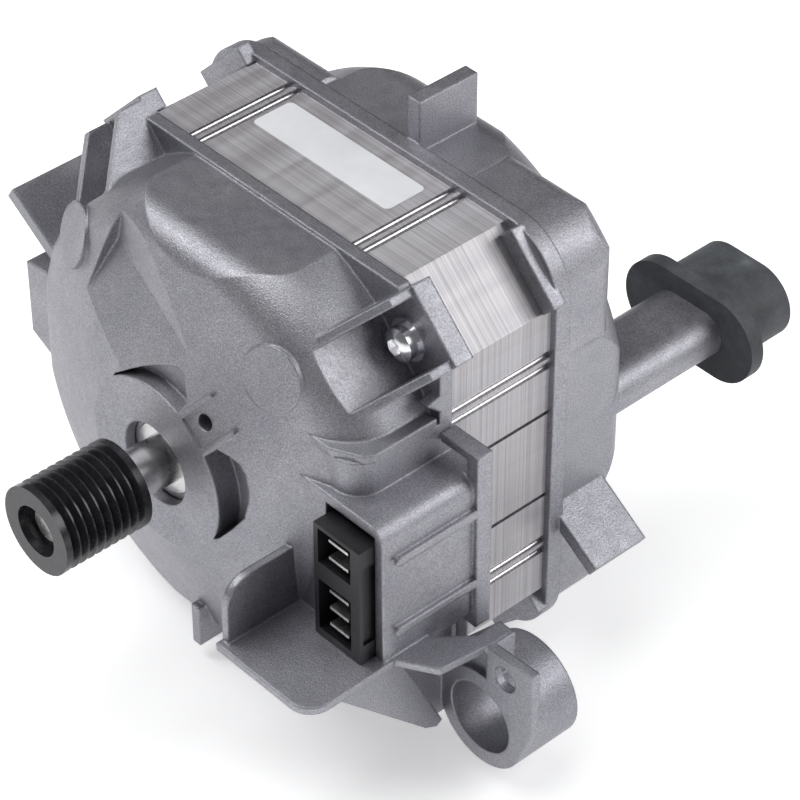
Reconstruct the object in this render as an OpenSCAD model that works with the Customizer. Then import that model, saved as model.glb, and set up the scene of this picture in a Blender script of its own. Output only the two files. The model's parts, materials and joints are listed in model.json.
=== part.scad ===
// Belt-drive motor of a washing machine, a three-phase brushless machine in two die-cast end covers.
// The shaft lies along Y with the pulley in front, X points right, Z points up, sizes in millimetres.
// The origin is the centre of the pulley's front face.

/* [Drive pulley] */
// Diameter over the belt ribs
pulley_d = 22.6; // [21:0.1:28]
// Length along the shaft
pulley_l = 24.4; // [24:0.1:30]
// Number of V grooves
groove_n = 9; // [4:1:9]
// Distance from one groove to the next
groove_pitch = 2.34; // [2.2:0.01:2.4]
// Depth of a groove
groove_depth = 2; // [1.4:0.1:2.4]
// Width of the plain collar in front of the grooves
collar_l = 1.6; // [1:0.1:2]
// Diameter of the pocket in the front face
pulley_pocket_d = 13; // [12:0.1:15]
// Depth of the pocket in the front face
pulley_pocket_l = 4; // [2:0.1:8]

/* [Shaft] */
// Diameter inside the pulley
shaft_pulley_d = 10; // [8:0.1:11]
// Diameter inside the bearings
shaft_d = 12; // [11.5:0.1:13]
// Diameter inside the rotor core
shaft_core_d = 16; // [14:0.1:17]
// Free length between the pulley and the front hub
shaft_neck_l = 10; // [6:0.1:16]

/* [Bearings] */
// Outside diameter
bearing_d = 32; // [31:0.1:34]
// Width
bearing_w = 10; // [9.5:0.1:12]
// Ball diameter
ball_d = 5.9; // [5:0.1:6.2]
// Number of balls
ball_n = 7; // [6:1:8]
// Thickness of a shield
shield_t = 0.5; // [0.3:0.05:0.7]
// Gap between a ball and its race
race_clearance = 0.05; // [0.02:0.01:0.08]
// Thickness of the wave washer's sheet
wave_t = 0.5; // [0.3:0.05:0.6]
// Height of the wave washer in place
wave_h = 1.2; // [1:0.05:1.8]

/* [Stator] */
// Width across the flat sides
stator_w = 116; // [110:0.5:124]
// Length of the lamination stack
stator_l = 30; // [24:0.5:45]
// Distance of the cut-off corners beyond the screws
stator_edge = 4.92; // [4:0.01:6]
// Diameter of the bore
stator_bore_d = 61.2; // [58:0.1:64]
// Diameter at the bottom of the winding slots
slot_d = 94; // [90:0.5:98]
// Number of teeth
tooth_n = 12; // [12:3:12]
// Width of a tooth
tooth_w = 7.5; // [6:0.1:8]
// Thickness of a tooth tip
tooth_tip_t = 2.5; // [1.5:0.1:3]
// Opening between neighbouring tooth tips
slot_gap = 2.6; // [2:0.1:4]
// Distance of the weld seams from the middle of a side
seam_x = 28; // [20:0.5:34]
// Distance between the two seams of a pair
seam_gap = 3.2; // [2.5:0.1:5]
// Radius of a seam groove
seam_r = 1.1; // [0.4:0.1:1.3]
// Distance of the side slots from the middle of the side
side_slot_z = 12.5; // [8:0.5:18]
// Width and depth of a side slot
side_slot_w = 1; // [0.6:0.1:2]

/* [Windings] */
// Thickness of the plastic end insulators
insulator_t = 1; // [0.8:0.1:1.6]
// Height of the insulator's outer wall
insulator_h = 9; // [7:0.1:12]
// Thickness of the insulator's outer wall
insulator_wall = 1.2; // [0.8:0.1:1.6]
// Thickness of a coil
coil_t = 3.8; // [2.5:0.1:4.2]
// Gap between a tooth and its coil
coil_clearance = 0.6; // [0.4:0.1:0.8]

/* [Rotor] */
// Gap between the rotor and the stator teeth
air_gap = 0.6; // [0.4:0.1:1]
// Number of magnets
magnet_n = 8; // [6:2:8]
// Width of a magnet
magnet_w = 15; // [12:0.1:16]
// Thickness of a magnet
magnet_t = 3.5; // [2.5:0.1:4]
// Thickness of the rotor end plates
end_plate_t = 2; // [1:0.1:3]

/* [Front cover] */
// Depth from the hub face to the flange
dome_l = 35.1; // [34:0.1:42]
// Thickness of the flange
flange_t = 3.5; // [3:0.1:6]
// Radius of the hub
hub_r = 22; // [21:0.1:24]
// Radius of the opening in the hub face
hub_hole_r = 10.8; // [9:0.1:12]
// Thickness of the lip that holds the bearing
hub_lip_t = 2.8; // [2:0.1:4]
// Slope of the dome's front in degrees
dome_slope = 18.6; // [15:0.1:20]
// Radius of the dome at its corners
dome_r = 62.2; // [61:0.1:64]
// Rounding of the dome's corners
dome_corner_r = 14; // [10:0.5:16]
// Rounding of the dome's straight edges
dome_edge_r = 9; // [7:0.5:11]
// Set-back of the dome's flat sides from the stator's sides
dome_inset = 0.7; // [0.3:0.1:1.5]
// Wall thickness of the dome
dome_wall = 3; // [2.5:0.1:4]
// Distance of the flange's cut-off corners beyond the screws
flange_edge = 6.12; // [5:0.01:7]
// Distance of the corner lugs' outer faces beyond the screws
lug_edge = 10; // [8:0.1:11]
// Sideways shift of the lugs and screws from the corners' diagonals
lug_shift = -1.3; // [-2:0.1:2]
// Length by which the lugs grip the stator's corners
skirt_l = 2.8; // [2:0.1:8]
// Length of a gusset wall in front of the flange
gusset_l = 19; // [15:0.5:22]
// Length of a gusset wall's top in front of the flange
gusset_top_l = 5.2; // [2:0.1:8]
// Distance of the gusset walls from the lug's middle
gusset_v = 9; // [8.5:0.1:11]
// Thickness of a gusset wall
gusset_t = 2.2; // [1.5:0.1:3]
// Distance of the flat round spots from the shaft
spot_u = 50; // [46:0.5:52]
// Radius of the flat round spots on the dome
spot_r = 8; // [6:0.5:10]
// Height of the round spots
spot_h = 0.3; // [0.2:0.05:1]

/* [Earth pad] */
// Direction of the pad seen from the front, in degrees
pad_angle = 51; // [40:1:60]
// Width of the pad over its frame
pad_w = 10.8; // [9:0.1:12]
// Length of the pad out from the hub
pad_l = 10.5; // [9:0.1:13]
// Slope of the pad in degrees
pad_slope = 14.5; // [10:0.5:17]
// Depth of the pad below the hub face
pad_drop = 0.8; // [0.4:0.1:1.5]
// Thickness of the frame's bars
pad_bar_t = 1.2; // [0.8:0.1:2]
// Diameter of the tapped hole
earth_hole_d = 4.2; // [2.5:0.1:5]
// Depth of the tapped hole
earth_hole_l = 6; // [3:0.1:7]

/* [Connector hood] */
// Right wall of the hood
hood_x = 69; // [67:0.1:74]
// Wall thickness of the hood
hood_wall = 2.5; // [1.5:0.1:3]
// Front edge of the hood, measured from the hub face
hood_front = 8; // [6:0.1:10]
// Top of the hood
hood_top = 19; // [17:0.1:24]
// Floor of the hood and of the drip tray
hood_floor = -19.3; // [-24:0.1:-18]
// Thickness of the tray
tray_t = 2; // [1.5:0.1:3]
// Length of the tray in front of the hood
tray_l = 23.4; // [15:0.1:28]
// Left edge of the tray
tray_x = 39; // [36:0.1:44]
// Height of the tray's left wall
tray_wall_h = 17; // [8:0.1:18]
// Height of the two ribs on the hood's right wall
hood_rib_h = 1.3; // [0.5:0.1:2]
// Reach of the flange's strip below the hood's floor
strip_under = 5.7; // [4:0.1:7]
// Reach of the flange's strip above the hood's top
strip_over = 6.5; // [5:0.1:8]
// Width of the flange's leg beside the eye
leg_w = 7; // [5:0.1:8]
// Width of the step above the hood
step_w = 16; // [12:0.1:18]
// Front of the step, measured from the hub face
step_front = 10.6; // [9:0.1:14]
// Height of the step above the hood's top
step_h = 11; // [8:0.1:13]

/* [Mounting eye] */
// Sideways place of the eye
eye_x = 79; // [77:0.1:84]
// Height of the eye
eye_z = -42.9; // [-44:0.1:-40]
// Diameter of the eye's bore
eye_bore_d = 19; // [14:0.1:21]
// Outside diameter of the eye
eye_d = 27; // [25:0.1:29]
// Length of the eye
eye_l = 18; // [14:0.1:24]
// Front face of the eye, measured from the hub face
eye_front = 28.6; // [24:0.1:32]
// Diameter of the small hole in the eye's ear
ear_hole_d = 6.8; // [4:0.1:7.5]
// Thickness of the ear
ear_t = 2.4; // [2:0.1:6]
// Inner edge of the ear, measured from the eye's middle
ear_in = 1.7; // [1:0.1:4]
// Outer edge of the ear, measured from the eye's middle
ear_out = 16.5; // [15:0.1:18]
// Sideways place of the ear's hole, measured from the eye's middle
ear_hole_x = 7.6; // [6:0.1:9]
// Height of the ear's hole above the eye's middle
ear_hole_z = 17.5; // [16:0.1:19]
// Thickness of the slanting rib that carries the eye
brace_t = 3; // [2:0.1:4]

/* [Rear cover] */
// Depth from the stator to the flat back
rear_l = 29.3; // [29:0.1:36]
// Rounding of the rear edges
rear_edge_r = 9; // [6:0.5:10]
// Depth of the two right corner blocks
block_right_l = 21; // [18:0.5:24]
// Depth of the two left corner blocks
block_left_l = 13; // [12.5:0.5:18]
// Rounding of the corner blocks' rear edges
block_edge_r = 5; // [2:0.5:6]
// Width of a corner block along the cover's side
block_w = 32; // [24:0.5:36]
// Width of the raised rim in front
rim_l = 4.4; // [3:0.1:7]
// Height of the raised rim
rim_h = 1.8; // [0.8:0.1:2.5]
// Wall thickness
rear_wall = 3; // [2.5:0.1:4]
// Radius of the bearing boss on the back
boss_r = 21; // [20.5:0.1:24]
// Height of the bearing boss on the back
boss_h = 4; // [3.5:0.1:6]

/* [Side fins] */
// Length of a fin
fin_l = 16; // [10:0.1:18]
// Thickness of a fin
fin_t = 3.6; // [2.5:0.1:5]
// Tilt of the fins in degrees
fin_tilt = 34; // [25:1:45]
// Height of the fins' roots above and below the shaft
fin_z = 21.5; // [18:0.1:26]
// Front end of the front fin, measured from the hub face
front_fin_front = 15.6; // [14:0.1:20]
// Reach of the rear fin behind the stator
rear_fin_l = 20; // [16:0.1:24]

/* [Side lug, foot and tab] */
// Front end of the side lug, measured from the hub face
side_lug_front = 13.6; // [12:0.1:18]
// Reach of the side lug beyond the left side
side_lug_out = 6; // [4:0.1:8]
// Lower edge of the side lug's outer face
side_lug_low = -6; // [-9:0.1:-4]
// Upper edge of the side lug's outer face
side_lug_top = 15; // [10:0.1:18]
// Diameter of the pin on the side lug
side_pin_d = 4; // [3:0.1:6]
// Length of the pin on the side lug
side_pin_l = 8; // [5:0.1:12]
// Sideways place of the foot's left face
foot_x = 2.9; // [0:0.1:6]
// Front end of the foot, measured from the hub face
foot_front = 6; // [4:0.1:10]
// Thickness of the foot
foot_t = 2.6; // [2:0.1:4]
// Length of the foot
foot_l = 22; // [18:0.1:26]
// Sideways place of the tab's left face
tab_x = 6; // [2:0.1:12]
// Thickness of the tab on top of the rear cover
tab_t = 4; // [3:0.1:6]
// Length of the tab
tab_l = 18; // [12:0.1:22]
// Height of the tab above the stator
tab_h = 13; // [8:0.1:16]

/* [Rear arm] */
// Sideways place of the arm
arm_x = 46.4; // [42:0.1:47]
// Width of the arm
arm_w = 22; // [18:0.1:23]
// Thickness of the arm
arm_t = 12; // [9:0.1:14]
// Length of the arm behind the rear cover's back
arm_l = 47.7; // [42:0.1:60]
// Thickness of the bush's rubber
bush_wall = 4; // [2.5:0.1:4.5]
// Length of the rubber bush
bush_l = 20; // [16:0.1:24]
// Width of the bush's flange
bush_flange_w = 42; // [36:0.5:44]
// Height of the bush's flange
bush_flange_h = 23; // [21:0.5:26]
// Thickness of the bush's flange
bush_flange_t = 4; // [3:0.1:6]

/* [Connector] */
// Width of the connector
plug_w = 15; // [14:0.1:15.3]
// Height of the connector
plug_h = 33; // [32.5:0.1:34]
// Length by which the connector stands out of the hood
plug_out = 4.4; // [2:0.1:8]
// Length of the connector
plug_l = 24; // [20:0.1:26]
// Depth of the connector's chambers
chamber_l = 15; // [12:0.1:16]
// Wall thickness of the connector
plug_wall = 1.4; // [1:0.1:1.8]
// Wall thickness of the connector on the side of its clips
clip_wall = 2.9; // [2:0.1:3.2]
// Distance between neighbouring blades
blade_pitch = 5; // [4.8:0.1:5.2]
// Width of a blade
blade_w = 6.3; // [4.8:0.1:7]
// Thickness of a blade
blade_t = 0.8; // [0.5:0.1:1]
// Distance of the blades' tips behind the connector's front
blade_recess = 0.4; // [0.2:0.1:8]
// Room in a chamber above its first blade
chamber_over = 1.8; // [1:0.1:2]
// Room in a chamber below its last blade
chamber_under = 3.1; // [1.5:0.1:3.4]

/* [Corner screws] */
// Thread diameter
screw_d = 5; // [4:0.1:5.5]
// Diameter of the head's flange
screw_head_d = 10.6; // [9:0.1:11]
// Height of the head
screw_head_h = 5.6; // [3.5:0.1:6]
// Distance of a screw from the shaft, along the corner's diagonal
screw_u = 66; // [65.5:0.1:66.5]
// Depth of the thread in the rear cover
screw_grip = 9; // [6:0.5:10]

/* [Hidden] */
$fn = 64;
eps = 0.01;
fit_gap = 0.1;
seat_gap = 0.3;

half = stator_w / 2;
dome_half = half - dome_inset;
hub_y = pulley_l + shaft_neck_l;
flange_y = hub_y + dome_l;
stator_y = flange_y + flange_t;
rear_y = stator_y + stator_l;
back_y = rear_y + rear_l;

shaft_tip_y = pulley_pocket_l - 1;
ball_r = ball_d / 2;
pitch_r = (shaft_d + bearing_d) / 4;
race_land = ball_r * 0.64;
front_bearing_y = hub_y + hub_lip_t;
rear_bearing_y = back_y + boss_h - rear_wall - wave_h - bearing_w;
shield_inset = 0.3;
cage_t = 1.8;
cage_w = ball_d + 1.5;

bore_r = stator_bore_d / 2;
tip_r = bore_r + tooth_tip_t;
slot_r = slot_d / 2;
tooth_step = 360 / tooth_n;
coil_r0 = tip_r + 1;
coil_r1 = slot_r - 2;
coil_in_w = tooth_w + 2 * coil_clearance;
coil_in_l = stator_l + 2 * insulator_t;
coil_out_r = norm([coil_r1, coil_in_w / 2 + coil_t]) + fit_gap;
// Half way between the slots and the covers' walls
insulator_r = (slot_r + dome_half - dome_wall) / 2;
insulator_wall_r = insulator_r - 0.6;

rotor_r = bore_r - air_gap;
magnet_r = rotor_r - magnet_t - 2.4;

stator_u = screw_u + stator_edge;
stator_chamfer = 2 * half - stator_u * sqrt(2);
cover_chamfer = 2 * half - (screw_u + flange_edge) * sqrt(2);
lug_u = screw_u + lug_edge;
gusset_y = flange_y - gusset_l;
gusset_root_u = dome_r - 4;
lug_half_w = gusset_v + gusset_t / 2;
// The rounded corner that meets the lugs' outer faces
block_corner_r = max(2, (half * sqrt(2) - lug_u) / (sqrt(2) - 1));
head_seat_y = flange_y + 1;
head_room_u = screw_u - screw_head_d / 2 - 1;
screw_hole_r = screw_d / 2 + 0.25;
cavity_front = hub_y + hub_lip_t + bearing_w;
// The cavity keeps a full wall behind the screw heads
cavity_chamfer = 2 * half - (head_room_u - dome_wall) * sqrt(2);

hood_y = hub_y + hood_front;
hood_in_x = hood_x - hood_wall;
hood_in_x0 = hood_in_x - plug_w - 1;
hood_in_top = hood_top - hood_wall;
strip_x = hood_x + hood_rib_h;
strip_y = stator_y + 0.9;
stator_side = half + seat_gap;
plug_x = hood_in_x - seat_gap - plug_w / 2;
plug_z = hood_floor + seat_gap + plug_h / 2;
plug_y = hood_y - plug_out;
blade_x = plug_x + 0.3;
blade_lift = 1.15;
blade_z = [for (k = [2.5, 1.5, -0.5, -1.5, -2.5]) plug_z + blade_lift + k * blade_pitch];

eye_y = hub_y + eye_front;
ear_x0 = eye_x + ear_in;
ear_x1 = eye_x + ear_out;

arm_y0 = back_y - rear_edge_r - 4;
arm_y1 = back_y + arm_l;
bush_y = arm_y1 - bush_l + 2;

aluminium = [0.66, 0.67, 0.68];
steel = [0.72, 0.73, 0.75];
dark_steel = [0.45, 0.46, 0.48];
black_plastic = [0.08, 0.08, 0.09];
rubber = [0.13, 0.13, 0.14];
copper = [0.72, 0.40, 0.20];
insulation = [0.86, 0.87, 0.84];

// A plan in X and Z, seen from the pulley end, carried along the shaft
module along_shaft(y0, y1) {
  translate([0, y1, 0])
    rotate([90, 0, 0])
      linear_extrude(y1 - y0)
        children();
}

// A side view in Y and Z, carried from left to right
module across(x0, x1) {
  translate([x0, 0, 0])
    rotate([90, 0, 90])
      linear_extrude(x1 - x0)
        children();
}

// A top view in X and Y, carried upward
module upward(z0, z1) {
  translate([0, 0, z0])
    linear_extrude(z1 - z0)
      children();
}

// A profile of radius and distance along the shaft, turned about the shaft
module turned() {
  rotate([-90, 0, 0])
    rotate_extrude()
      children();
}

// A straight pin or hole along the shaft direction
module rod_y(x, z, r, y0, y1) {
  translate([x, y0, z])
    rotate([-90, 0, 0])
      cylinder(r = r, h = y1 - y0);
}

// One of the four corners: the first axis runs out along the diagonal
module at_corner(k) {
  rotate([0, -45 - 90 * k, 0])
    children();
}

module corners() {
  for (k = [0:3])
    at_corner(k)
      children();
}

module round_rect(w, h, r) {
  square([w - 2 * r, h], center = true);
  square([w, h - 2 * r], center = true);
  for (sx = [-1, 1], sy = [-1, 1])
    translate([sx * (w / 2 - r), sy * (h / 2 - r)])
      circle(r);
}

// A rectangle with round ends, its length along the first axis
module stadium(w, h) {
  square([w - h, h], center = true);
  for (s = [-1, 1])
    translate([s * (w - h) / 2, 0])
      circle(h / 2);
}

// Square with cut-off corners
module cut_square(h, chamfer) {
  c = h - chamfer;
  polygon([[-c, -h], [c, -h], [h, -c], [h, c], [c, h], [-c, h], [-h, c], [-h, -c]]);
}

// Half of the dome's outline: hub face, sloping front, rounded shoulder and straight side
module dome_outline(side, shoulder, inset) {
  lift = inset / cos(dome_slope);
  cx = side - shoulder;
  cy = hub_y + lift + (cx - hub_r) * tan(dome_slope) + shoulder / cos(dome_slope);
  polygon([
    [0, hub_y + lift],
    [hub_r, hub_y + lift],
    [cx + shoulder * sin(dome_slope), cy - shoulder * cos(dome_slope)],
    [cx, cy],
    [side, cy],
    [side, stator_y],
    [0, stator_y]
  ]);
  translate([cx, cy])
    circle(shoulder);
}

module dome_slab(side, shoulder, inset) {
  dome_outline(side, shoulder, inset);
  mirror([1, 0])
    dome_outline(side, shoulder, inset);
}

// Rounded square dome: a turned body between two pairs of flat sides
module dome_body(inset) {
  intersection() {
    turned()
      dome_outline(dome_r - inset, dome_corner_r - inset, inset);
    upward(-half, half)
      dome_slab(dome_half - inset, dome_edge_r - inset, inset);
    rotate([0, 90, 0])
      upward(-half, half)
        dome_slab(dome_half - inset, dome_edge_r - inset, inset);
  }
}

// Flat round spots: two on the slope and two on the rounded shoulder of the corners
module dome_spots() {
  spot_turn = 6;
  shoulder_slope = 30;
  shoulder_turn = 3;
  cx = dome_r - dome_corner_r;
  cy = (cx - hub_r) * tan(dome_slope) + dome_corner_r / cos(dome_slope);
  for (k = [0, 2])
    at_corner(k)
      rotate([0, -spot_turn, 0])
        dome_spot(spot_u, (spot_u - hub_r) * tan(dome_slope), dome_slope);
  for (k = [1, 3])
    at_corner(k)
      rotate([0, -shoulder_turn, 0])
        dome_spot(
          cx + dome_corner_r * sin(shoulder_slope), cy - dome_corner_r * cos(shoulder_slope), shoulder_slope
        );
}

module dome_spot(u, depth, slope) {
  thick = 4;
  translate([u, hub_y + depth, 0])
    rotate([0, 0, slope])
      rod_y(0, 0, spot_r, -spot_h, thick);
}

// Wedge that forms the long hollow in the dome's front above the hub, moved inward by a wall
module dome_hollow(wall) {
  // Deep end and shallow end of the hollow's lowest line: X, depth behind the hub face, Z
  deep = [-26, 13.2, 43.8];
  shallow = [13, 3.6, 34.2];
  lower_slope = 25.8;
  upper_slope = -3;
  reach = 40;
  run = shallow - deep;
  translate(deep + [0, hub_y + wall, 0])
    rotate([0, acos(run[2] / norm(run)), atan2(run[1], run[0])])
      linear_extrude(norm(run))
        polygon([
          [0, 0],
          [reach, -reach * tan(lower_slope)],
          [reach, -reach],
          [-reach, -reach],
          [-reach, -reach * tan(upper_slope)]
        ]);
}

module front_dome() {
  difference() {
    dome_body(0);
    dome_hollow(0);
  }
  dome_spots();
}

// Hollow for the winding ends
module front_room() {
  difference() {
    intersection() {
      dome_body(dome_wall);
      along_shaft(cavity_front, stator_y + 1)
        cut_square(half, cavity_chamfer);
    }
    dome_hollow(dome_wall / cos(dome_slope));
  }
}

// Two walls that guard the screw head in each corner
module gussets() {
  inner_u = gusset_root_u - 8;
  for (s = [-1, 1])
    translate([0, 0, lug_shift + s * gusset_v - gusset_t / 2])
      linear_extrude(gusset_t)
        polygon([
          [inner_u, gusset_y],
          [gusset_root_u, gusset_y],
          [lug_u - 1, flange_y - gusset_top_l],
          [lug_u - 1, stator_y],
          [inner_u, stator_y]
        ]);
}

// Corner lug that reaches over the cut-off corner of the stator
module corner_skirt(y0, y1) {
  translate([stator_u + fit_gap, y0, lug_shift - lug_half_w])
    cube([lug_u - stator_u - fit_gap, y1 - y0, 2 * lug_half_w]);
}

// Room in front of the screw head, between the gusset walls
module head_room() {
  room_w = 2 * gusset_v - gusset_t + fit_gap;
  translate([head_room_u, gusset_y - 1, lug_shift - room_w / 2])
    cube([lug_u, head_seat_y - gusset_y + 1, room_w]);
}

// The pad's own place: first axis out from the hub along the pad, second axis into the metal
module at_pad() {
  rotate([0, -pad_angle, 0])
    translate([hub_r, hub_y + pad_drop, 0])
      rotate([0, 0, pad_slope])
        children();
}

// Bars on both sides of the pad that keep a cable shoe from turning
module pad_bars() {
  overrun = 1.8;
  root = 4;
  at_pad()
    for (s = [-1, 1])
      translate([0, -pad_drop, s * (pad_w - pad_bar_t) / 2 - pad_bar_t / 2])
        cube([pad_l + overrun, pad_drop + root, pad_bar_t]);
}

// Flat pad let into the dome, with its tapped hole
module pad_cut() {
  room_w = pad_w - 2 * pad_bar_t;
  hole_v = 0.6;
  at_pad() {
    translate([0, -pad_l, -room_w / 2])
      cube([pad_l + 1, pad_l, room_w]);
    rod_y(pad_l / 2, hole_v, earth_hole_d / 2, -1, earth_hole_l);
  }
}

// Pocket beside the hub, one on each side of the earth pad
module hub_pockets() {
  // Turn from the pad and reach beyond the hub at each corner of a pocket
  lower = [
    [12.5, 4.8], [17.3, 7.3], [21.7, 9.1], [26.4, 9.6], [33.5, 9.3],
    [38.6, 8.7], [49.2, 7], [60.4, 3.9], [73.6, 1.5], [90, -1.5]
  ];
  upper = [
    [14.2, 4.8], [19.7, 7.4], [22.9, 9.3], [26.5, 9.2], [30, 8.5],
    [39.3, 5.8], [48, 3.8], [58.7, 2.1], [75, 0.9], [92, -1.5]
  ];
  rotate([0, -pad_angle, 0]) {
    mirror([0, 0, 1])
      hub_pocket(lower, 6.5);
    hub_pocket(upper, 4.5);
  }
}

module hub_pocket(outline, depth) {
  edge = 0.4;
  along_shaft(hub_y - 1, hub_y + depth)
    difference() {
      polygon(concat(
        [for (p = outline) (hub_r + p[1]) * [cos(p[0]), sin(p[0])]],
        [[hub_r - 2, pad_w / 2 + fit_gap]]
      ));
      circle(hub_r + edge);
    }
}

module hood_shell() {
  r = 4.5;
  upper_rib = 9.6;
  lower_rib = 7.8;
  notch = 4.4;
  rib_w = 2.2;
  rib_y0 = hood_y + 3;
  rib_y1 = flange_y + rib_w;
  along_shaft(hood_y, stator_y) {
    difference() {
      translate([tray_x, hood_floor - tray_t])
        square([hood_x - tray_x, hood_top - hood_floor + tray_t]);
      translate([hood_x - r, hood_top - r])
        square([r, r]);
    }
    translate([hood_x - r, hood_top - r])
      circle(r);
  }
  across(hood_x - eps, strip_x)
    for (z = [hood_top - upper_rib, hood_floor + lower_rib])
      translate([(rib_y0 + rib_y1) / 2, z])
        stadium(rib_y1 - rib_y0, rib_w);
  difference() {
    along_shaft(flange_y, strip_y)
      translate([stator_side, hood_floor - strip_under])
        square([strip_x - stator_side, hood_top - hood_floor + strip_under + strip_over]);
    along_shaft(flange_y - 1, strip_y + 1)
      translate([stator_side - 1, hood_top])
        square([strip_x - stator_side - hood_wall, notch]);
  }
  // Leg of the flange beside the eye
  along_shaft(flange_y, stator_y)
    translate([half - 1, eye_z])
      square([leg_w, hood_floor - 5 - eye_z]);
}

module hood_room() {
  along_shaft(hood_y - 1, flange_y - 1)
    translate([hood_in_x0, hood_floor])
      square([hood_in_x - hood_in_x0, hood_in_top - hood_floor]);
}

module drip_tray() {
  r = 6;
  y0 = hood_y - tray_l;
  right = strip_x;
  upward(hood_floor - tray_t, hood_floor) {
    translate([tray_x, y0])
      square([right - r - tray_x, tray_l + 8]);
    translate([tray_x, y0 + r])
      square([right - tray_x, tray_l + 2 - r]);
    translate([right - r, y0 + r])
      circle(r);
  }
  across(tray_x, tray_x + tray_t) {
    wall_r = 7;
    top = hood_floor + tray_wall_h;
    translate([y0 + 2, hood_floor - tray_t])
      square([tray_l + 4, tray_wall_h + tray_t - wall_r]);
    translate([y0 + 2 + wall_r, top - wall_r])
      square([tray_l + 4 - wall_r, wall_r]);
    translate([y0 + 2 + wall_r, top - wall_r])
      circle(wall_r);
  }
}

// Step between the hood's top and the flange
module side_block() {
  r = 7;
  y0 = hub_y + step_front;
  x0 = dome_half - step_w;
  block_top = hood_top + step_h;
  upward(hood_top - 2, block_top - 2) {
    translate([x0, y0])
      square([half - r - x0, flange_y - y0]);
    translate([x0, y0 + r])
      square([half - x0, flange_y - y0 - r]);
    translate([half - r, y0 + r])
      circle(r);
  }
  upward(block_top - 2, block_top)
    polygon([
      [x0, y0 - 0.5],
      [x0 + step_w / 2, y0 - 0.5],
      [half - 1.5, y0 + 3],
      [half, y0 + 5],
      [half, flange_y - 1],
      [x0, flange_y - 1]
    ]);
}

module mounting_eye() {
  rod_y(eye_x, eye_z, eye_d / 2, eye_y, eye_y + eye_l);
  along_shaft(eye_y, eye_y + ear_t)
    polygon([
      [ear_x0, hood_floor - 0.1],
      [ear_x1, hood_floor + 0.6],
      [ear_x1, eye_z + 6],
      [eye_x + eye_d / 2 * cos(30), eye_z - eye_d / 2 * sin(30)],
      [ear_x0, eye_z]
    ]);
  along_shaft(eye_y + 1.5, eye_y + 8)
    polygon([
      [eye_x - eye_d / 2, eye_z],
      [eye_x - eye_d / 2 + 1, hood_floor - 12],
      [ear_x0 - 4, hood_floor - 0.1],
      [ear_x0 + 1, hood_floor - 0.1],
      [ear_x0 + 1, eye_z]
    ]);
  upward(hood_floor - tray_t, hood_floor)
    polygon([
      [stator_side, hood_y + 2],
      [hood_x, hood_y + 2],
      [eye_x, hood_y + 8],
      [ear_x0, eye_y],
      [ear_x0, eye_y + 6.3],
      [strip_x, eye_y - 7],
      [stator_side, eye_y - 7]
    ]);
}

// Slanting rib under the tray's right edge and the thinner web behind it, which carry the eye
module eye_brace() {
  top = hood_floor - 1;
  low = eye_z - 7.6;
  rib_x = eye_x - eye_d / 2;
  across(rib_x, rib_x + brace_t)
    polygon([
      [hood_y - 15.4, top],
      [eye_y - 7.2, low + 1],
      [eye_y - 3.6, low - 0.8],
      [eye_y - 2, low + 0.4],
      [hood_y + 4.6, top]
    ]);
  across(rib_x - 2, rib_x + 0.6)
    polygon([[hood_y + 1, top], [eye_y - 4, low], [eye_y + 3, low], [eye_y + 3, top]]);
}

// Slanting fin on a cover's side
module side_fin(y0, y1) {
  along_shaft(y0, y1)
    rotate(-fin_tilt)
      translate([-4, -fin_t / 2])
        square([fin_l + 4, fin_t]);
}

module front_fin() {
  translate([-half, 0, fin_z])
    rotate([0, 180, 0])
      side_fin(hub_y + front_fin_front, stator_y);
}

// Lug on the left side and foot below
module small_lugs() {
  root = 4;
  foot_root = 12;
  pin_z = 5;
  outside = -half - side_lug_out;
  pin_y = hub_y + side_lug_front + 2.4;
  along_shaft(hub_y + side_lug_front, flange_y)
    polygon([
      [outside, side_lug_low],
      [-half + root, side_lug_low - 5],
      [-half + root, side_lug_top + 1],
      [outside, side_lug_top]
    ]);
  rod_y(outside - 1, pin_z, side_pin_d / 2, pin_y, pin_y + side_pin_l);
  upward(-half, -half + foot_root)
    translate([foot_x, hub_y + foot_front])
      square([foot_t, foot_l]);
}

// Small tooth on the flange above the hood
module flange_tooth() {
  z = hood_top + 16;
  across(half - 3, half)
    polygon([[flange_y - 3.8, z], [flange_y + 1, z + 1.2], [flange_y + 1, z - 4.5]]);
}

// Dome with its flange and the walled screw seats in the corners
module guarded_dome() {
  difference() {
    union() {
      front_dome();
      along_shaft(flange_y, stator_y)
        cut_square(half, cover_chamfer);
      corners()
        gussets();
    }
    corners()
      head_room();
  }
}

module front_cover() {
  color(aluminium)
    difference() {
      union() {
        difference() {
          union() {
            guarded_dome();
            hood_shell();
            drip_tray();
            side_block();
            flange_tooth();
            eye_brace();
            front_fin();
            small_lugs();
          }
          front_room();
          hub_pockets();
          hood_room();
        }
        corners()
          corner_skirt(head_seat_y, stator_y + skirt_l);
        mounting_eye();
        pad_bars();
      }
      rod_y(0, 0, hub_hole_r, hub_y - 1, front_bearing_y + 1);
      rod_y(0, 0, bearing_d / 2, front_bearing_y, cavity_front + 1);
      corners()
        rod_y(screw_u, lug_shift, screw_hole_r, flange_y - 1, stator_y + 1);
      pad_cut();
      rod_y(eye_x, eye_z, eye_bore_d / 2, eye_y - 1, eye_y + eye_l + 1);
      rod_y(eye_x + ear_hole_x, eye_z + ear_hole_z, ear_hole_d / 2, eye_y - 1, eye_y + ear_t + 1);
    }
}

// Outline of a cover half with a rounded rear edge: one side of its plan or of its side view
module rear_outline(side, edge, end) {
  translate([0, rear_y])
    square([side, end - edge - rear_y]);
  translate([0, rear_y])
    square([side - edge, end - rear_y]);
  translate([side - edge, end - edge])
    circle(edge);
}

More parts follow.
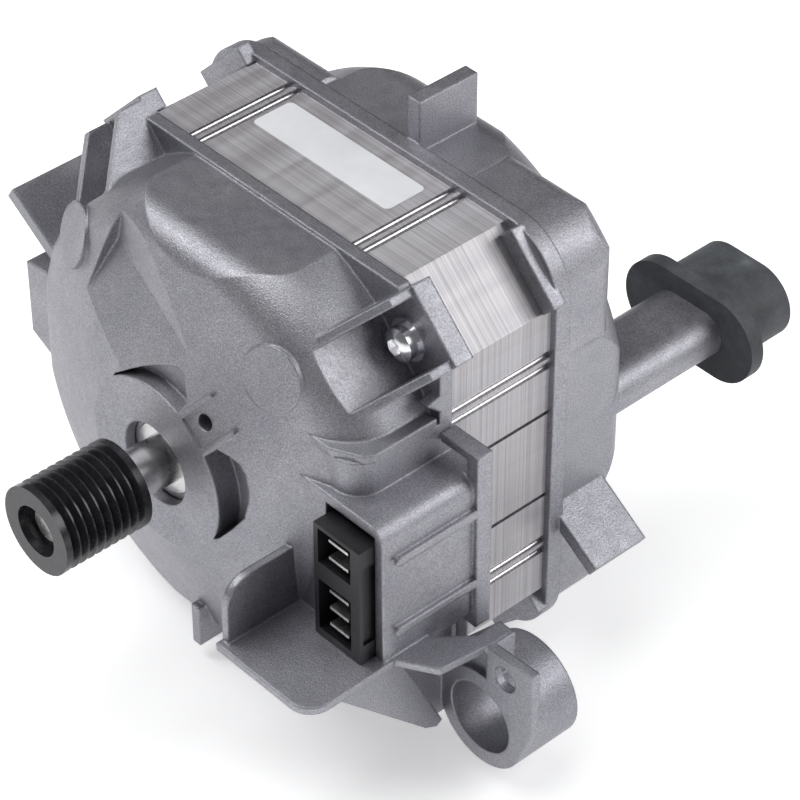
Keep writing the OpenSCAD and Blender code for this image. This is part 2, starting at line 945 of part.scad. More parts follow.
module rear_slab(side, edge, end) {
  rear_outline(side, edge, end);
  mirror([1, 0])
    rear_outline(side, edge, end);
}

// A turned body between two pairs of flat sides, all with rounded rear edges
module rear_form(side, edge, corner, corner_edge, end) {
  intersection() {
    turned()
      rear_outline(corner, corner_edge, end);
    upward(-2 * half, 2 * half)
      rear_slab(side, edge, end);
    rotate([0, 90, 0])
      upward(-2 * half, 2 * half)
        rear_slab(side, edge, end);
  }
}

module rear_dome(inset) {
  rear_form(
    dome_half - inset, rear_edge_r - inset, dome_r - inset, dome_corner_r - inset, back_y - inset
  );
}

// Block with a rounded outer corner that takes the screw's thread
module corner_block(k, depth) {
  intersection() {
    rear_form(half, block_edge_r, lug_u, block_edge_r, rear_y + depth);
    along_shaft(rear_y, rear_y + depth)
      round_rect(stator_w, stator_w, block_corner_r);
    at_corner(k)
      translate([dome_r - 14, rear_y, -block_w / sqrt(2)])
        cube([lug_u, depth + 1, block_w * sqrt(2)]);
  }
}

module rear_body() {
  rear_dome(0);
  for (k = [0, 3])
    corner_block(k, block_right_l);
  for (k = [1, 2])
    corner_block(k, block_left_l);
  along_shaft(rear_y, rear_y + rim_l)
    round_rect(stator_w + 2 * rim_h, stator_w + 2 * rim_h, block_corner_r + rim_h);
}

module rear_arm() {
  along_shaft(arm_y0, arm_y1)
    translate([arm_x, 0])
      stadium(arm_w, arm_t);
}

// Hollow for the winding ends, round the bearing's seat
module rear_room() {
  difference() {
    translate([0, -eps, 0])
      rear_dome(rear_wall);
    rod_y(0, 0, boss_r, rear_bearing_y, back_y);
  }
}

module rear_cover() {
  tab_root = 2;
  color(aluminium)
    difference() {
      union() {
        rear_body();
        corners()
          corner_skirt(rear_y - skirt_l, rear_y + 1);
        rear_arm();
        rod_y(0, 0, boss_r, back_y - 1, back_y + boss_h);
        translate([tab_x, rear_y + rim_l, half - tab_root])
          cube([tab_t, tab_l, tab_h + tab_root]);
        translate([half, 0, -fin_z])
          side_fin(rear_y + rim_l - 1, rear_y + rear_fin_l);
      }
      rear_room();
      rod_y(0, 0, bearing_d / 2, rear_y, back_y + boss_h - rear_wall);
      corners()
        rod_y(screw_u, lug_shift, screw_d / 2, rear_y - 1, rear_y + screw_grip + 1);
    }
}

module seam_grooves() {
  for (k = [0:3])
    rotate(90 * k)
      for (s = [-1, 1], t = [-1, 1])
        translate([s * seam_x + t * seam_gap / 2, half])
          circle(seam_r);
}

module side_slots() {
  for (sx = [-1, 1], sz = [-1, 1])
    translate([sx * half, sz * side_slot_z])
      square([2 * side_slot_w, side_slot_w], center = true);
}

module teeth(width, r0, r1) {
  for (i = [0:tooth_n - 1])
    rotate(i * tooth_step)
      translate([r0, -width / 2])
        square([r1 - r0, width]);
}

module slot_gaps(r0, r1) {
  for (i = [0:tooth_n - 1])
    rotate((i + 0.5) * tooth_step)
      translate([r0, -slot_gap / 2])
        square([r1 - r0, slot_gap]);
}

module stator_core() {
  color(steel)
    along_shaft(stator_y, rear_y)
      difference() {
        union() {
          difference() {
            cut_square(half, stator_chamfer);
            circle(slot_r);
          }
          teeth(tooth_w, bore_r + 1, slot_r + 1);
          difference() {
            circle(tip_r);
            circle(bore_r);
            slot_gaps(bore_r - 1, tip_r + 1);
          }
        }
        circle(bore_r);
        seam_grooves();
        side_slots();
        for (k = [0:3])
          rotate(45 + 90 * k)
            translate([screw_u, lug_shift])
              circle(screw_hole_r);
      }
}

// Plastic frame on one end of the stack, seen with the stack behind it
module insulator() {
  along_shaft(-insulator_t, 0) {
    difference() {
      circle(insulator_r);
      circle(coil_out_r);
    }
    difference() {
      teeth(tooth_w + coil_clearance, tip_r - 1, slot_r + 1);
      circle(tip_r - 1);
    }
    difference() {
      circle(tip_r);
      circle(bore_r + 0.4);
      slot_gaps(bore_r - 1, tip_r + 1);
    }
  }
  along_shaft(-insulator_h, -insulator_t + eps)
    difference() {
      circle(insulator_wall_r);
      circle(insulator_wall_r - insulator_wall);
    }
}

module front_insulator() {
  color(insulation)
    translate([0, stator_y, 0])
      insulator();
}

module rear_insulator() {
  color(insulation)
    translate([0, rear_y, 0])
      mirror([0, 1, 0])
        insulator();
}

module coil() {
  translate([coil_r0, stator_y + stator_l / 2, 0])
    rotate([90, 0, 90])
      linear_extrude(coil_r1 - coil_r0)
        difference() {
          round_rect(coil_in_l + 2 * coil_t, coil_in_w + 2 * coil_t, coil_t);
          square([coil_in_l, coil_in_w], center = true);
        }
}

// Every third tooth carries a coil of the same phase
module phase_winding(first) {
  color(copper)
    for (i = [first:3:tooth_n - 1])
      rotate([0, -i * tooth_step, 0])
        coil();
}

module phase_u_winding() {
  phase_winding(0);
}

module phase_v_winding() {
  phase_winding(1);
}

module phase_w_winding() {
  phase_winding(2);
}

// Temperature cut-out that lies on the end of a coil
module thermal_protector() {
  box = [9, 4.4, 12];
  color(black_plastic)
    translate([(coil_r0 + coil_r1 - box[0]) / 2, stator_y - insulator_t - coil_t - box[1], -box[2] / 2])
      cube(box);
}

module connector_chambers() {
  room_w = plug_w - plug_wall - clip_wall;
  for (group = [[0, 1], [2, 4]]) {
    z1 = blade_z[group[0]] + chamber_over;
    z0 = blade_z[group[1]] - chamber_under;
    translate([plug_x - plug_w / 2 + plug_wall, plug_y - 1, z0])
      cube([room_w, chamber_l + 1, z1 - z0]);
  }
}

// Shallow recess between the two clips on the right side
module clip_recess() {
  clip_h = 5;
  depth = 0.7;
  rim = 1;
  translate([plug_x + plug_w / 2 - depth, plug_y + rim, plug_z - plug_h / 2 + clip_h])
    cube([depth + 1, plug_out + rim, plug_h - 2 * clip_h]);
}

module connector_block() {
  color(black_plastic)
    difference() {
      translate([plug_x - plug_w / 2, plug_y, plug_z - plug_h / 2])
        cube([plug_w, plug_l, plug_h]);
      connector_chambers();
      clip_recess();
      for (z = blade_z)
        translate([blade_x - blade_w / 2, plug_y, z - blade_t / 2])
          cube([blade_w, plug_l + 1, blade_t]);
    }
}

module connector_blades() {
  tail = 4;
  color(steel)
    for (z = blade_z)
      translate([blade_x - blade_w / 2, plug_y + blade_recess, z - blade_t / 2])
        cube([blade_w, plug_l + tail - blade_recess, blade_t]);
}

module corner_screw() {
  flange_h = 1.2;
  washer_y = head_seat_y - flange_h;
  difference() {
    union() {
      rod_y(screw_u, lug_shift, screw_head_d / 2, washer_y, head_seat_y);
      translate([screw_u, 0, lug_shift])
        turned()
          difference() {
            intersection() {
              translate([0, head_seat_y - screw_head_h])
                square([screw_head_d * 0.4, screw_head_h]);
              translate([0, head_seat_y - screw_head_h + screw_head_d * 0.6])
                circle(screw_head_d * 0.6);
            }
            translate([-screw_head_d, head_seat_y - screw_head_h - 1])
              square([screw_head_d, screw_head_h + 2]);
          }
      rod_y(screw_u, lug_shift, screw_d / 2, head_seat_y - 0.5, rear_y + screw_grip);
    }
    translate([screw_u, head_seat_y - screw_head_h - 1, lug_shift])
      rotate([-90, 0, 0])
        cylinder(r = screw_head_d * 0.2, h = 3, $fn = 6);
  }
}

module corner_screws() {
  color(steel)
    corners()
      corner_screw();
}

module rubber_bush() {
  sleeve_w = arm_w + 2 * bush_wall;
  sleeve_h = arm_t + 2 * bush_wall;
  color(rubber)
    translate([arm_x, 0, 0])
      difference() {
        union() {
          along_shaft(bush_y, bush_y + bush_l)
            stadium(sleeve_w, sleeve_h);
          along_shaft(bush_y, bush_y + bush_flange_t)
            stadium(bush_flange_w, bush_flange_h);
        }
        along_shaft(bush_y - 1, bush_y + bush_l + 1)
          stadium(arm_w, arm_t);
      }
}

// The ball's path, cut into both rings
module race(y) {
  translate([pitch_r, y + bearing_w / 2])
    circle(ball_r + race_clearance);
}

module outer_ring(y) {
  color(steel)
    turned()
      difference() {
        translate([pitch_r + race_land, y])
          square([bearing_d / 2 - pitch_r - race_land, bearing_w]);
        race(y);
      }
}

module inner_ring(y) {
  color(steel)
    turned()
      difference() {
        translate([shaft_d / 2, y])
          square([pitch_r - race_land - shaft_d / 2, bearing_w]);
        race(y);
      }
}

module shields(y) {
  shield_in = pitch_r - race_land + 0.25;
  color(dark_steel)
    for (at = [shield_inset, bearing_w - shield_inset - shield_t])
      turned()
        translate([shield_in, y + at])
          square([pitch_r + race_land - shield_in, shield_t]);
}

module ball_places(y) {
  for (i = [0:ball_n - 1])
    rotate([0, i * 360 / ball_n, 0])
      translate([pitch_r, y + bearing_w / 2, 0])
        children();
}

module balls(y) {
  color(steel)
    ball_places(y)
      sphere(r = ball_r);
}

// Ring with a round window for each ball
module cage(y) {
  color(dark_steel)
    difference() {
      turned()
        translate([pitch_r - cage_t / 2, y + (bearing_w - cage_w) / 2])
          square([cage_t, cage_w]);
      ball_places(y)
        rotate([0, 90, 0])
          cylinder(r = ball_r + race_clearance, h = 2 * cage_t, center = true);
    }
}

module front_bearing_outer_ring() {
  outer_ring(front_bearing_y);
}

module front_bearing_shields() {
  shields(front_bearing_y);
}

module front_bearing_cage() {
  cage(front_bearing_y);
}

module front_bearing_balls() {
  balls(front_bearing_y);
}

module front_bearing_inner_ring() {
  inner_ring(front_bearing_y);
}

module rear_bearing_outer_ring() {
  outer_ring(rear_bearing_y);
}

module rear_bearing_shields() {
  shields(rear_bearing_y);
}

module rear_bearing_cage() {
  cage(rear_bearing_y);
}

module rear_bearing_balls() {
  balls(rear_bearing_y);
}

module rear_bearing_inner_ring() {
  inner_ring(rear_bearing_y);
}

// Spring washer with three waves that presses the rear bearing forward
module wave_washer() {
  steps = 48;
  waves = 3;
  r0 = pitch_r + race_land;
  r1 = bearing_d / 2 - 0.4;
  swing = (wave_h - wave_t) / 2 - 0.03;
  mid = rear_bearing_y + bearing_w + wave_h / 2;
  points = [
    for (i = [0:steps - 1])
      let (a = 360 * i / steps, y = mid + swing * cos(waves * a))
        each [
          [r0 * cos(a), y - wave_t / 2, r0 * sin(a)],
          [r1 * cos(a), y - wave_t / 2, r1 * sin(a)],
          [r1 * cos(a), y + wave_t / 2, r1 * sin(a)],
          [r0 * cos(a), y + wave_t / 2, r0 * sin(a)]
        ]
  ];
  faces = [
    for (i = [0:steps - 1], k = [0:3])
      let (
        j = (i + 1) % steps,
        a = 4 * i + k,
        b = 4 * i + (k + 1) % 4,
        c = 4 * j + (k + 1) % 4,
        d = 4 * j + k
      )
        each [[a, b, c], [a, c, d]]
  ];
  color(dark_steel)
    polyhedron(points, faces);
}

module belt_groove() {
  flat = 0.3;
  r = pulley_d / 2;
  polygon([
    [r + 1, -groove_pitch / 2 + flat / 2],
    [r, -groove_pitch / 2 + flat / 2],
    [r - groove_depth, -flat / 2],
    [r - groove_depth, flat / 2],
    [r, groove_pitch / 2 - flat / 2],
    [r + 1, groove_pitch / 2 - flat / 2]
  ]);
}

module pulley() {
  color(black_plastic)
    turned()
      difference() {
        translate([shaft_pulley_d / 2, 0])
          square([(pulley_d - shaft_pulley_d) / 2, pulley_l]);
        translate([0, -1])
          square([pulley_pocket_d / 2, pulley_pocket_l + 1]);
        for (i = [0:groove_n - 1])
          translate([0, collar_l + groove_pitch * (i + 0.5)])
            belt_groove();
      }
}

module rotor_shaft() {
  tip = 0.8;
  color(steel)
    turned() {
      polygon([
        [0, shaft_tip_y],
        [shaft_pulley_d / 2 - tip, shaft_tip_y],
        [shaft_pulley_d / 2, shaft_tip_y + tip],
        [shaft_pulley_d / 2, pulley_l],
        [shaft_d / 2, pulley_l],
        [shaft_d / 2, front_bearing_y + bearing_w],
        [shaft_core_d / 2, front_bearing_y + bearing_w],
        [shaft_core_d / 2, rear_bearing_y],
        [shaft_d / 2, rear_bearing_y],
        [shaft_d / 2, rear_bearing_y + bearing_w - tip],
        [shaft_d / 2 - tip, rear_bearing_y + bearing_w],
        [0, rear_bearing_y + bearing_w]
      ]);
    }
}

module magnet_places(grow) {
  for (i = [0:magnet_n - 1])
    rotate(i * 360 / magnet_n)
      translate([magnet_r - grow, -magnet_w / 2 - grow])
        square([magnet_t + 2 * grow, magnet_w + 2 * grow]);
}

module rotor_core() {
  color(dark_steel)
    along_shaft(stator_y, rear_y)
      difference() {
        circle(rotor_r);
        circle(shaft_core_d / 2);
        magnet_places(fit_gap);
      }
}

module rotor_magnets() {
  color([0.3, 0.3, 0.32])
    along_shaft(stator_y, rear_y)
      magnet_places(0);
}

module rotor_end_plates() {
  color(steel)
    for (y = [stator_y - end_plate_t, rear_y])
      along_shaft(y, y + end_plate_t)
        difference() {
          circle(rotor_r - 0.5);
          circle(shaft_core_d / 2);
        }
}

front_cover();
rear_cover();
stator_core();
front_insulator();
rear_insulator();
phase_u_winding();
phase_v_winding();
phase_w_winding();
thermal_protector();
connector_block();
connector_blades();
corner_screws();
rubber_bush();
front_bearing_outer_ring();
front_bearing_shields();
front_bearing_cage();
front_bearing_balls();
front_bearing_inner_ring();
rear_bearing_outer_ring();
rear_bearing_shields();
rear_bearing_cage();
rear_bearing_balls();
rear_bearing_inner_ring();
wave_washer();
pulley();
rotor_shaft();
rotor_core();
rotor_magnets();
rotor_end_plates();
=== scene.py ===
import json
from math import cos, pi, radians, sin

import bmesh
import bpy
from mathutils import Matrix, Vector


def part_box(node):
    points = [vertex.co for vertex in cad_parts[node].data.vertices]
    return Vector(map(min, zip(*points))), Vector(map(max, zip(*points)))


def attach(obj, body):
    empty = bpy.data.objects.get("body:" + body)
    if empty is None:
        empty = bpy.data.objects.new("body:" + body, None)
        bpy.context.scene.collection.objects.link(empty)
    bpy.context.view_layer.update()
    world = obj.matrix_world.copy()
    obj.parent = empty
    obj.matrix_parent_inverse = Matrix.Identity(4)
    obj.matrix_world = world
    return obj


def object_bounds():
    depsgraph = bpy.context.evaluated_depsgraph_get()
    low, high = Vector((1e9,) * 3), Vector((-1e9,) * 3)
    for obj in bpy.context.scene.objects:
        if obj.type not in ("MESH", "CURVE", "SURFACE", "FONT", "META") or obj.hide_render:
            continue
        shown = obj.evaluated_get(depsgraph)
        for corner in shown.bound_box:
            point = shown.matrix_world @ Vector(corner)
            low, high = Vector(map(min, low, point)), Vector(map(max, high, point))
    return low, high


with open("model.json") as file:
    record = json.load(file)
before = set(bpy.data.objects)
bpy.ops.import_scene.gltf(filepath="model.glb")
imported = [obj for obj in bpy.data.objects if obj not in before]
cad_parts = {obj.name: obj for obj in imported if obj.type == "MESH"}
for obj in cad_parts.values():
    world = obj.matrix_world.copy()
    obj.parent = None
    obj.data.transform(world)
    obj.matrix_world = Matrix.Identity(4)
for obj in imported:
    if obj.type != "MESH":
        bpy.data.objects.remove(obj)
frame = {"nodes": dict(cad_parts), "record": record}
cad_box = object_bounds()
nodes = frame["nodes"]
scene = bpy.context.scene

# Weld seams of the stack: distance from the middle of a side, half their spacing, half their width
SEAM_PLACE, SEAM_APART, SEAM_HALF_WIDTH = 0.028, 0.0016, 0.0011
# How much smoother a weld seam is than the edges of the sheets
SEAM_POLISH = 0.22
# Middle of the motor, at which the lamps point
MOTOR_MIDDLE = Vector((0.01, 0.09, 0.0))
# The photograph's camera: its place, and its angles in degrees, to the right, above and of tilt
CAMERA_PLACE = Vector((0.470786, -0.318195, 0.509710))
AZIMUTH, ELEVATION, TILT = 47.687, 39.977, -0.098
# Brightness that the floor adds of itself, only where the camera, a reflection or glass shows it
FLOOR_GLOW = 0.42
WHITE = (1.0, 1.0, 1.0)


# Material building blocks

class Shader:
    """One material under construction, with its Principled shader."""

    def __init__(self, name):
        self.material = bpy.data.materials.new(name)
        self.material.use_nodes = True
        self.tree = self.material.node_tree
        self.shader = self.tree.nodes["Principled BSDF"]
        coords = self.tree.nodes.new("ShaderNodeTexCoord")
        self.place = coords.outputs["Object"]

    def node(self, kind, **values):
        made = self.tree.nodes.new(kind)
        for key, value in values.items():
            setattr(made, key, value)
        return made

    def link(self, source, target):
        self.tree.links.new(source, target)

    def constant(self, **values):
        for key, value in values.items():
            self.shader.inputs[key.replace("_", " ")].default_value = value

    def stretched(self, scale):
        mapping = self.node("ShaderNodeMapping")
        mapping.inputs["Scale"].default_value = scale
        self.link(self.place, mapping.inputs["Vector"])
        return mapping.outputs["Vector"]

    def noise(self, scale, detail=3.0, rough=0.55, vector=None):
        made = self.node("ShaderNodeTexNoise")
        made.inputs["Scale"].default_value = scale
        made.inputs["Detail"].default_value = detail
        made.inputs["Roughness"].default_value = rough
        self.link(vector or self.place, made.inputs["Vector"])
        return made.outputs["Fac"]

    def ramp(self, factor, stops):
        made = self.node("ShaderNodeValToRGB")
        elements = made.color_ramp.elements
        while len(elements) < len(stops):
            elements.new(0.5)
        for element, (place, colour) in zip(elements, stops):
            element.position = place
            grey = (colour,) * 3 if isinstance(colour, float) else colour
            element.color = (*grey, 1.0)
        self.link(factor, made.inputs["Fac"])
        return made.outputs["Color"]

    def blend(self, kind, factor, first, second):
        made = self.node("ShaderNodeMix", data_type="RGBA", blend_type=kind)
        made.inputs["Factor"].default_value = factor
        self.link(first, made.inputs["A"])
        self.link(second, made.inputs["B"])
        return made.outputs["Result"]

    def maths(self, kind, first, second):
        made = self.node("ShaderNodeMath", operation=kind)
        for socket, value in zip(made.inputs, (first, second)):
            if isinstance(value, float):
                socket.default_value = value
            else:
                self.link(value, socket)
        return made.outputs["Value"]

    def stripes(self, middle, apart, half_width):
        """Mask of the pairs of lines that run along the shaft on all four sides of a square."""
        parts = self.node("ShaderNodeSeparateXYZ")
        self.link(self.place, parts.inputs["Vector"])
        found = []
        for axis in ("X", "Z"):
            side = self.maths("ABSOLUTE", parts.outputs[axis], 0.0)
            pair = self.maths("ABSOLUTE", self.maths("SUBTRACT", side, middle), 0.0)
            off = self.maths("ABSOLUTE", self.maths("SUBTRACT", pair, apart), 0.0)
            found.append(self.maths("LESS_THAN", off, half_width))
        return self.maths("MAXIMUM", *found)

    def colour(self, source):
        self.link(source, self.shader.inputs["Base Color"])

    def roughness(self, source):
        self.link(source, self.shader.inputs["Roughness"])

    def soft_edges(self, radius):
        """Normal of a surface whose edges are rounded a little, as on a casting."""
        made = self.node("ShaderNodeBevel")
        made.samples = 6
        made.inputs["Radius"].default_value = radius
        return made.outputs["Normal"]

    def bump(self, height, strength, distance, before=None):
        made = self.node("ShaderNodeBump")
        made.inputs["Strength"].default_value = strength
        made.inputs["Distance"].default_value = distance
        self.link(height, made.inputs["Height"])
        if before is not None:
            self.link(before, made.inputs["Normal"])
        self.link(made.outputs["Normal"], self.shader.inputs["Normal"])
        return made.outputs["Normal"]


def cast_aluminium():
    """Die-cast metal with a fine sparkling grain and faint stains."""
    m = Shader("cast_aluminium")
    m.constant(Metallic=0.9)
    grain = m.noise(2600.0, 2.0, 0.7)
    cloud = m.noise(45.0, 4.0, 0.6)
    stain = m.noise(14.0, 3.0, 0.5)
    fine = m.ramp(grain, [(0.30, (0.265, 0.262, 0.283)), (0.70, (0.50, 0.495, 0.528))])
    broad = m.ramp(cloud, [(0.30, (0.84, 0.84, 0.87)), (0.72, (1.0, 0.995, 1.0))])
    wide = m.ramp(stain, [(0.36, (0.90, 0.91, 0.92)), (0.66, WHITE)])
    m.colour(m.blend("MULTIPLY", 1.0, m.blend("MULTIPLY", 1.0, fine, broad), wide))
    m.roughness(m.ramp(m.noise(300.0, 4.0, 0.6), [(0.25, 0.38), (0.75, 0.52)]))
    coarse = m.bump(m.noise(260.0, 3.0, 0.6), 0.05, 0.0004, m.soft_edges(0.0009))
    m.bump(grain, 0.55, 0.0002, coarse)
    return m.material


def lamination_steel(name, light, dark, seams):
    """Edges of thin sheets stacked along the shaft, with or without smooth weld seams."""
    m = Shader(name)
    m.constant(Metallic=0.95, Anisotropic=0.8, Anisotropic_Rotation=0.25)
    round_shaft = m.node("ShaderNodeTangent", direction_type="RADIAL", axis="Y")
    m.link(round_shaft.outputs["Tangent"], m.shader.inputs["Tangent"])
    sheets = m.noise(1.0, 2.0, 0.6, m.stretched((6.0, 2300.0, 6.0)))
    streaks = m.noise(1.0, 3.0, 0.6, m.stretched((220.0, 9.0, 220.0)))
    sheet_tone = m.ramp(sheets, [(0.30, dark), (0.70, light)])
    streak_tone = m.ramp(streaks, [(0.30, (0.86, 0.84, 0.83)), (0.70, WHITE)])
    m.colour(m.blend("MULTIPLY", 1.0, sheet_tone, streak_tone))
    brushed = m.ramp(streaks, [(0.25, 0.42), (0.75, 0.56)])
    if seams:
        seam = m.stripes(SEAM_PLACE, SEAM_APART, SEAM_HALF_WIDTH)
        brushed = m.maths("SUBTRACT", brushed, m.maths("MULTIPLY", seam, SEAM_POLISH))
    m.roughness(brushed)
    m.bump(sheets, 0.30, 0.0002)
    return m.material


def bright_steel(name, tone, rough):
    """Ground or plated steel with fine turning marks along the shaft."""
    m = Shader(name)
    m.constant(Metallic=1.0)
    rings = m.noise(1.0, 2.0, 0.6, m.stretched((4.0, 1900.0, 4.0)))
    cloud = m.noise(180.0, 3.0, 0.6)
    m.colour(m.ramp(cloud, [(0.25, tuple(0.86 * c for c in tone)), (0.75, tone)]))
    m.roughness(m.ramp(cloud, [(0.25, rough), (0.75, rough + 0.14)]))
    m.bump(rings, 0.12, 0.0001)
    return m.material


def black_steel():
    """Blackened steel of the pulley, a little worn."""
    m = Shader("black_steel")
    m.constant(Metallic=0.35, Specular_IOR_Level=0.55)
    wear = m.noise(240.0, 4.0, 0.65)
    rings = m.noise(1.0, 2.0, 0.6, m.stretched((5.0, 2600.0, 5.0)))
    m.colour(m.ramp(wear, [(0.35, (0.026, 0.026, 0.029)), (0.75, (0.054, 0.055, 0.061))]))
    m.roughness(m.ramp(wear, [(0.30, 0.20), (0.75, 0.34)]))
    m.bump(rings, 0.10, 0.0001)
    return m.material


def black_plastic():
    m = Shader("black_plastic")
    m.constant(Metallic=0.0, Specular_IOR_Level=0.5)
    grain = m.noise(1700.0, 2.0, 0.6)
    cloud = m.noise(120.0, 3.0, 0.6)
    m.colour(m.ramp(cloud, [(0.30, (0.008, 0.008, 0.010)), (0.75, (0.016, 0.016, 0.020))]))
    m.roughness(m.ramp(cloud, [(0.30, 0.32), (0.75, 0.48)]))
    m.bump(grain, 0.08, 0.0001)
    return m.material


def black_rubber():
    """Dull rubber with dust on it."""
    m = Shader("black_rubber")
    m.constant(Metallic=0.0, Specular_IOR_Level=0.35)
    dust = m.noise(70.0, 6.0, 0.68)
    speck = m.noise(900.0, 3.0, 0.7)
    black, grey, pale = (0.052, 0.056, 0.062), (0.088, 0.094, 0.103), (0.165, 0.173, 0.185)
    base = m.ramp(dust, [(0.38, black), (0.56, grey), (0.74, pale)])
    tint = m.ramp(speck, [(0.30, (0.80, 0.80, 0.80)), (0.72, WHITE)])
    m.colour(m.blend("MULTIPLY", 1.0, base, tint))
    m.roughness(m.ramp(dust, [(0.30, 0.50), (0.75, 0.72)]))
    coarse = m.bump(m.noise(140.0, 4.0, 0.6), 0.12, 0.0005)
    m.bump(speck, 0.12, 0.0001, coarse)
    return m.material


def white_plastic():
    m = Shader("white_plastic")
    m.constant(Metallic=0.0)
    cloud = m.noise(60.0, 3.0, 0.6)
    m.colour(m.ramp(cloud, [(0.30, (0.76, 0.76, 0.72)), (0.75, (0.84, 0.84, 0.81))]))
    m.roughness(m.ramp(cloud, [(0.30, 0.40), (0.75, 0.52)]))
    m.bump(m.noise(1300.0, 2.0, 0.6), 0.06, 0.0001)
    return m.material


def copper_wire():
    """Varnished turns of round wire laid side by side."""
    m = Shader("copper_wire")
    m.constant(Metallic=0.85)
    turns = m.node("ShaderNodeTexWave", wave_type="RINGS", rings_direction="Y")
    turns.inputs["Scale"].default_value = 190.0
    turns.inputs["Distortion"].default_value = 0.6
    m.link(m.place, turns.inputs["Vector"])
    tone = m.noise(150.0, 3.0, 0.6)
    m.colour(m.ramp(tone, [(0.30, (0.42, 0.17, 0.06)), (0.75, (0.62, 0.29, 0.12))]))
    m.roughness(m.ramp(tone, [(0.30, 0.28), (0.75, 0.42)]))
    m.bump(turns.outputs["Fac"], 0.5, 0.0003)
    return m.material


def magnet():
    m = Shader("magnet")
    m.constant(Metallic=0.6)
    cloud = m.noise(160.0, 4.0, 0.6)
    m.colour(m.ramp(cloud, [(0.30, (0.13, 0.13, 0.14)), (0.75, (0.23, 0.23, 0.25))]))
    m.roughness(m.ramp(cloud, [(0.30, 0.38), (0.75, 0.55)]))
    m.bump(m.noise(900.0, 2.0, 0.6), 0.15, 0.0001)
    return m.material


def paper_label():
    m = Shader("paper_label")
    m.constant(Metallic=0.0, Specular_IOR_Level=0.45)
    fibre = m.noise(420.0, 4.0, 0.6)
    cloud = m.noise(60.0, 3.0, 0.5)
    pale = m.ramp(cloud, [(0.30, (0.70, 0.71, 0.73)), (0.72, (0.77, 0.78, 0.80))])
    tint = m.ramp(fibre, [(0.30, (0.96, 0.96, 0.96)), (0.70, WHITE)])
    m.colour(m.blend("MULTIPLY", 1.0, pale, tint))
    m.roughness(m.ramp(cloud, [(0.30, 0.34), (0.72, 0.46)]))
    m.bump(fibre, 0.05, 0.0001)
    return m.material


MATERIALS = {
    "cast_aluminium": cast_aluminium(),
    "lamination_steel": lamination_steel(
        "lamination_steel", (0.59, 0.582, 0.605), (0.39, 0.382, 0.402), seams=True
    ),
    "rotor_steel": lamination_steel(
        "rotor_steel", (0.50, 0.50, 0.51), (0.34, 0.34, 0.35), seams=False
    ),
    "bright_steel": bright_steel("bright_steel", (0.72, 0.71, 0.71), 0.20),
    "pressed_steel": bright_steel("pressed_steel", (0.58, 0.58, 0.59), 0.34),
    "zinc_steel": bright_steel("zinc_steel", (0.86, 0.86, 0.88), 0.11),
    "tinned_brass": bright_steel("tinned_brass", (0.80, 0.79, 0.77), 0.22),
    "black_plastic": black_plastic(),
    "black_steel": black_steel(),
    "white_plastic": white_plastic(),
    "copper_wire": copper_wire(),
    "magnet": magnet(),
    "black_rubber": black_rubber(),
}

for part in frame["record"]["subparts"]:
    mesh = nodes[part["node"]].data
    mesh.materials.clear()
    mesh.materials.append(MATERIALS[part["material_slot"]])


# Bare label on top of the stator

def rounded_outline(width, length, radius, steps):
    """Corners of a rectangle whose corners are rounded in steps."""
    points = []
    for quarter, (sx, sy) in enumerate(((1, 1), (-1, 1), (-1, -1), (1, -1))):
        for i in range(steps + 1):
            turn = (quarter + i / steps) * pi / 2
            points.append((
                sx * (width / 2 - radius) + radius * cos(turn),
                sy * (length / 2 - radius) + radius * sin(turn),
            ))
    return points


def make_label():
    """Thin paper on the upper side of the stack, without any print."""
    width, length, radius, thickness = 0.0463, 0.0120, 0.0014, 0.00012
    corner_steps = 8
    stator_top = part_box("stator_core")[1][2]
    centre = Vector((-0.0012, 0.0925, stator_top))
    mesh = bpy.data.meshes.new("label")
    bm = bmesh.new()
    outline = rounded_outline(width, length, radius, corner_steps)
    face = bm.faces.new([bm.verts.new((x, y, 0.0)) for x, y in outline])
    lifted = bmesh.ops.extrude_face_region(bm, geom=[face])
    top = [v for v in lifted["geom"] if isinstance(v, bmesh.types.BMVert)]
    bmesh.ops.translate(bm, verts=top, vec=(0.0, 0.0, thickness))
    bmesh.ops.recalc_face_normals(bm, faces=bm.faces)
    bmesh.ops.translate(bm, verts=bm.verts, vec=centre)
    bm.to_mesh(mesh)
    bm.free()
    label = bpy.data.objects.new("label", mesh)
    scene.collection.objects.link(label)
    mesh.materials.append(paper_label())
    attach(label, "housing")


make_label()


# Floor, light and camera

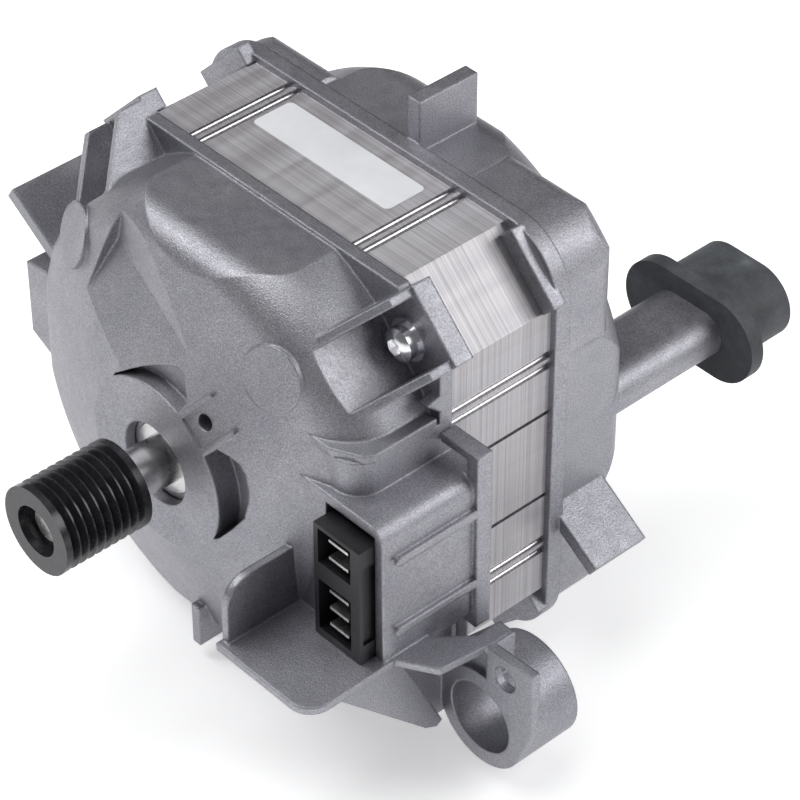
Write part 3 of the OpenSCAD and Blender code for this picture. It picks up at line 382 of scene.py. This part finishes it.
def floor_material():
    """Pale paint that glows a little for the camera and in reflections, and keeps the shadow."""
    material = bpy.data.materials.new("floor")
    material.use_nodes = True
    tree = material.node_tree
    shader = tree.nodes["Principled BSDF"]
    shader.inputs["Base Color"].default_value = (0.93, 0.93, 0.93, 1.0)
    shader.inputs["Roughness"].default_value = 0.9
    shader.inputs["Specular IOR Level"].default_value = 0.0
    glow = tree.nodes.new("ShaderNodeEmission")
    glow.inputs["Strength"].default_value = FLOOR_GLOW
    path = tree.nodes.new("ShaderNodeLightPath")
    seen = path.outputs["Is Camera Ray"]
    for ray in ("Is Glossy Ray", "Is Transmission Ray"):
        either = tree.nodes.new("ShaderNodeMath")
        either.operation = "MAXIMUM"
        tree.links.new(seen, either.inputs[0])
        tree.links.new(path.outputs[ray], either.inputs[1])
        seen = either.outputs["Value"]
    dim = tree.nodes.new("ShaderNodeMixShader")
    both = tree.nodes.new("ShaderNodeAddShader")
    dark = tree.nodes.new("ShaderNodeEmission")
    dark.inputs["Strength"].default_value = 0.0
    tree.links.new(seen, dim.inputs["Fac"])
    tree.links.new(dark.outputs["Emission"], dim.inputs[1])
    tree.links.new(glow.outputs["Emission"], dim.inputs[2])
    tree.links.new(shader.outputs["BSDF"], both.inputs[0])
    tree.links.new(dim.outputs["Shader"], both.inputs[1])
    tree.links.new(both.outputs["Shader"], tree.nodes["Material Output"].inputs["Surface"])
    return material


def make_floor():
    lowest = cad_box[0][2]
    half = 6.0
    mesh = bpy.data.meshes.new("floor")
    corners = [(-half, -half), (half, -half), (half, half), (-half, half)]
    mesh.from_pydata([(x, y, lowest) for x, y in corners], [], [(0, 1, 2, 3)])
    floor = bpy.data.objects.new("floor", mesh)
    scene.collection.objects.link(floor)
    mesh.materials.append(floor_material())


def make_lamp(name, direction, distance, size, power):
    """Round soft lamp on this side of the motor, pointed at its middle."""
    data = bpy.data.lights.new(name, "AREA")
    data.shape = "DISK"
    data.size = size
    data.energy = power
    lamp = bpy.data.objects.new(name, data)
    scene.collection.objects.link(lamp)
    towards = Vector(direction).normalized()
    lamp.location = MOTOR_MIDDLE + distance * towards
    lamp.rotation_euler = towards.to_track_quat("Z", "Y").to_euler()


def make_world():
    world = bpy.data.worlds.new("studio")
    scene.world = world
    world.use_nodes = True
    background = world.node_tree.nodes["Background"]
    background.inputs["Color"].default_value = (0.95, 0.97, 1.0, 1.0)
    background.inputs["Strength"].default_value = 0.17


def make_camera():
    """Camera at the photograph's viewing angle."""
    data = bpy.data.cameras.new("camera")
    data.sensor_width = 36.0
    data.lens = 152.325
    data.clip_start = 0.05
    data.clip_end = 20.0
    camera = bpy.data.objects.new("camera", data)
    scene.collection.objects.link(camera)
    turned = Matrix.Rotation(radians(AZIMUTH), 4, "Z")
    raised = Matrix.Rotation(radians(90.0 - ELEVATION), 4, "X")
    tilted = Matrix.Rotation(radians(TILT), 4, "Z")
    camera.matrix_world = Matrix.Translation(CAMERA_PLACE) @ turned @ raised @ tilted
    scene.camera = camera


make_floor()
make_world()
make_lamp("key", (0.64, 0.52, 0.57), 1.3, 0.9, 8.4)
make_lamp("top", (-0.15, -0.25, 1.0), 1.5, 1.2, 10.0)
make_lamp("fill", (-0.57, -0.32, 0.77), 1.8, 0.9, 9.5)
make_camera()
scene.view_settings.view_transform = "Standard"
